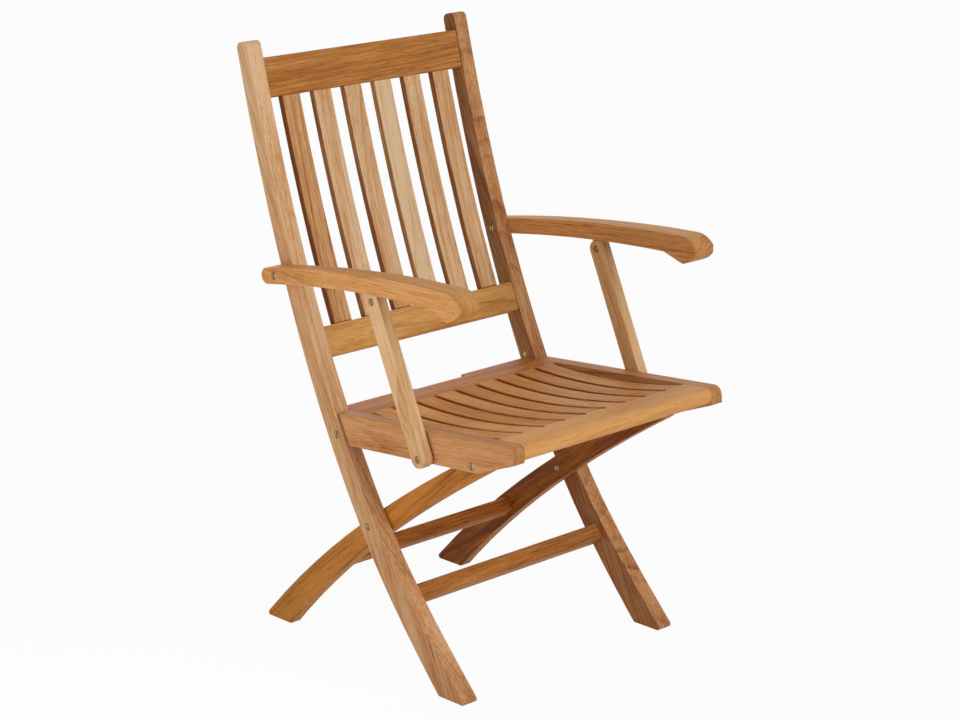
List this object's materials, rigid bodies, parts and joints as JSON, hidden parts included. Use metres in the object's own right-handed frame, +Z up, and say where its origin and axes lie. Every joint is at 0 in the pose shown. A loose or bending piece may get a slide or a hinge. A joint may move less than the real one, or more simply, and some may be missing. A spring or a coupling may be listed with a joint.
{
  "type": "folding armchair",
  "caption": "Folding teak garden armchair with a tall slatted back, a dished slatted seat, curved crossing legs and arms that fold up with the seat.",
  "frame": {"origin": "on the floor under the middle of the open chair's bounding box", "axes": "+X to the sitter's left, +Y to the back, +Z up"},
  "size_m": [0.528, 0.5796, 0.9142],
  "materials": {
    "brass_fittings": "satin",
    "teak_stiles": "satin",
    "teak_legs": "satin",
    "teak_arms": "satin",
    "teak_struts": "satin",
    "teak_back_rails": "satin",
    "teak_back_slats": "satin",
    "teak_seat_side_rails": "satin",
    "teak_seat_slats_and_rails": "satin"
  },
  "bodies": {
    "back_frame": {"back_slat_1": "teak_back_slats", "back_slat_2": "teak_back_slats", "back_slat_3": "teak_back_slats", "back_slat_4": "teak_back_slats", "back_slat_5": "teak_back_slats", "back_slat_6": "teak_back_slats", "front_stretcher": "teak_back_rails", "left_arm_bolt": "brass_fittings", "left_arm_nut": "brass_fittings", "left_catch_stud": "brass_fittings", "left_scissor_bolt": "brass_fittings", "left_scissor_nut": "brass_fittings", "left_scissor_washer": "brass_fittings", "left_seat_peg": "brass_fittings", "left_stile": "teak_stiles", "lower_back_rail": "teak_back_rails", "right_arm_bolt": "brass_fittings", "right_arm_nut": "brass_fittings", "right_catch_stud": "brass_fittings", "right_scissor_bolt": "brass_fittings", "right_scissor_nut": "brass_fittings", "right_scissor_washer": "brass_fittings", "right_seat_peg": "brass_fittings", "right_stile": "teak_stiles", "top_rail": "teak_back_rails"},
    "rear_legs": {"left_leg": "teak_legs", "rear_stretcher": "teak_legs", "right_leg": "teak_legs"},
    "left_arm_body": {"left_arm": "teak_arms", "left_arm_plate": "brass_fittings"},
    "right_arm_body": {"right_arm": "teak_arms", "right_arm_plate": "brass_fittings"},
    "left_strut_body": {"left_strut": "teak_struts", "left_strut_foot_bolt": "brass_fittings", "left_strut_foot_washer": "brass_fittings", "left_strut_head_bolt": "brass_fittings", "left_strut_head_nut": "brass_fittings"},
    "right_strut_body": {"right_strut": "teak_struts", "right_strut_foot_bolt": "brass_fittings", "right_strut_foot_washer": "brass_fittings", "right_strut_head_bolt": "brass_fittings", "right_strut_head_nut": "brass_fittings"},
    "seat": {"left_seat_bolt": "brass_fittings", "left_seat_rail": "teak_seat_side_rails", "left_seat_washer": "brass_fittings", "right_seat_bolt": "brass_fittings", "right_seat_rail": "teak_seat_side_rails", "right_seat_washer": "brass_fittings", "seat_front_rail": "teak_seat_slats_and_rails", "seat_rear_rail": "teak_seat_slats_and_rails", "seat_slat_1": "teak_seat_slats_and_rails", "seat_slat_2": "teak_seat_slats_and_rails", "seat_slat_3": "teak_seat_slats_and_rails", "seat_slat_4": "teak_seat_slats_and_rails", "seat_slat_5": "teak_seat_slats_and_rails", "seat_slat_6": "teak_seat_slats_and_rails", "seat_slat_7": "teak_seat_slats_and_rails", "seat_slat_8": "teak_seat_slats_and_rails", "seat_slat_9": "teak_seat_slats_and_rails"}
  },
  "joints": [
    {"name": "leg_fold", "type": "hinge", "parent": "back_frame", "child": "rear_legs", "pos_m": [0, 0.00988, 0.2236], "axis": [-1, 0, 0], "range_deg": [0, 66]},
    {"name": "left_arm_fold", "type": "hinge", "parent": "back_frame", "child": "left_arm_body", "pos_m": [0.23305, 0.18027, 0.5801], "axis": [-1, 0, 0], "range_deg": [0, 87.02]},
    {"name": "right_arm_fold", "type": "hinge", "parent": "back_frame", "child": "right_arm_body", "pos_m": [-0.23305, 0.18027, 0.5801], "axis": [-1, 0, 0], "range_deg": [0, 87.02]},
    {"name": "left_strut_fold", "type": "hinge", "parent": "left_arm_body", "child": "left_strut_body", "pos_m": [0.23305, -0.02373, 0.57668], "axis": [1, 0, 0], "range_deg": [0, 91.01]},
    {"name": "right_strut_fold", "type": "hinge", "parent": "right_arm_body", "child": "right_strut_body", "pos_m": [-0.23305, -0.02373, 0.57668], "axis": [1, 0, 0], "range_deg": [0, 91.01]},
    {"name": "seat_fold", "type": "hinge", "parent": "left_strut_body", "child": "seat", "pos_m": [0.2205, -0.11851, 0.36217], "axis": [1, 0, 0], "range_deg": [0, 68.01]}
  ],
  "couplings": [
    {"joint": "left_arm_fold", "follows": "leg_fold", "ratio": 1.3185},
    {"joint": "right_arm_fold", "follows": "leg_fold", "ratio": 1.3185},
    {"joint": "left_strut_fold", "follows": "leg_fold", "ratio": 1.3789},
    {"joint": "right_strut_fold", "follows": "leg_fold", "ratio": 1.3789},
    {"joint": "seat_fold", "follows": "leg_fold", "ratio": 1.0305}
  ]
}
